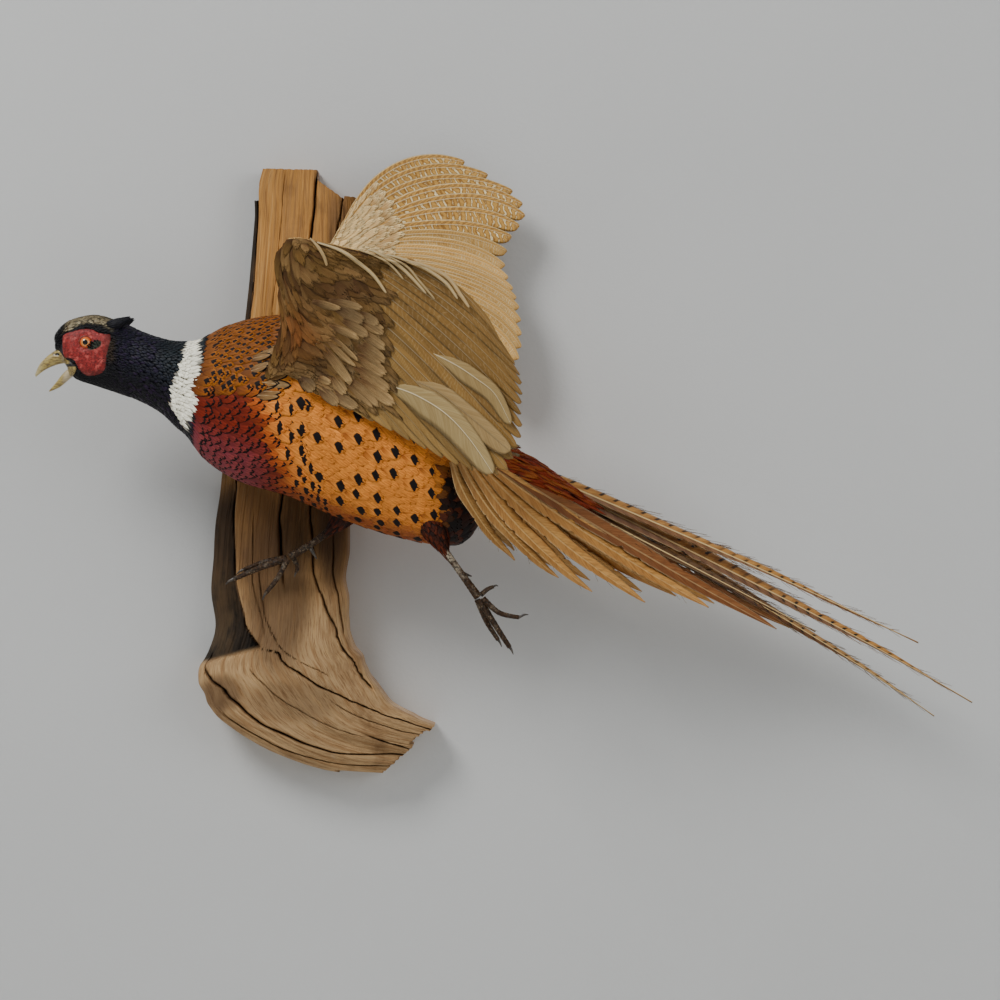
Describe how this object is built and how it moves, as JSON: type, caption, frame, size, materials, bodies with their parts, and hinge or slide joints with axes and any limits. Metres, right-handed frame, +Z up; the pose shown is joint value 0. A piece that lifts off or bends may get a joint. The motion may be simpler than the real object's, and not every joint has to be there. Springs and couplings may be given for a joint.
{
  "type": "taxidermy pheasant",
  "caption": "Cock ring-necked pheasant mounted in flight with raised wings and a long spread tail, fixed to an upright piece of driftwood that hangs on a wall.",
  "frame": {"origin": "on the flat sawn back of the driftwood, which lies against the wall, behind the bird's raised left wing", "axes": "+Z up, +Y into the wall, +X toward the bird's tail; the bird flies toward -X and stands out from the wall to -Y"},
  "size_m": [0.8218, 0.2305, 0.5503],
  "materials": {
    "head_feathers": "glossy bronze green feathers, red wattle",
    "neck_feathers": "iridescent dark blue-green feathers",
    "collar_feathers": "matte white feathers",
    "body_feathers": "golden brown feathers with dark spots",
    "rump_feathers": "dark rust feathers",
    "wing_under": "matte olive grey feathers",
    "wing_upper": "matte sandy feathers with cream bars",
    "tail_feathers": "buff and brown barred feathers",
    "bill_horn": "satin horn",
    "eye_glass": "polished",
    "leg_skin": "satin scaled skin",
    "claw_horn": "satin horn",
    "weathered_wood": "bare weathered driftwood",
    "rod_steel": "plain steel"
  },
  "bodies": {
    "root": {"bill_lower": "bill_horn", "bill_upper": "bill_horn", "claw_hind_left": "claw_horn", "claw_hind_right": "claw_horn", "claw_inner_left": "claw_horn", "claw_inner_right": "claw_horn", "claw_middle_left": "claw_horn", "claw_middle_right": "claw_horn", "claw_outer_left": "claw_horn", "claw_outer_right": "claw_horn", "collar": "collar_feathers", "driftwood": "weathered_wood", "ear_tuft_left": "head_feathers", "ear_tuft_right": "head_feathers", "eye_left": "eye_glass", "eye_right": "eye_glass", "head": "head_feathers", "mount_rod": "rod_steel", "neck": "neck_feathers", "rump": "rump_feathers", "spur_left": "claw_horn", "spur_right": "claw_horn", "tail_central": "tail_feathers", "tail_left_fan": "tail_feathers", "tail_right_fan": "tail_feathers", "tarsus_left": "leg_skin", "tarsus_right": "leg_skin", "thigh_left": "body_feathers", "thigh_right": "body_feathers", "toe_hind_left": "leg_skin", "toe_hind_right": "leg_skin", "toe_inner_left": "leg_skin", "toe_inner_right": "leg_skin", "toe_middle_left": "leg_skin", "toe_middle_right": "leg_skin", "toe_outer_left": "leg_skin", "toe_outer_right": "leg_skin", "trunk": "body_feathers", "wing_left_arm": "wing_under", "wing_left_primaries": "wing_under", "wing_left_secondaries": "wing_under", "wing_right_arm": "wing_upper", "wing_right_primaries": "wing_upper", "wing_right_secondaries": "wing_upper"}
  },
  "joints": []
}
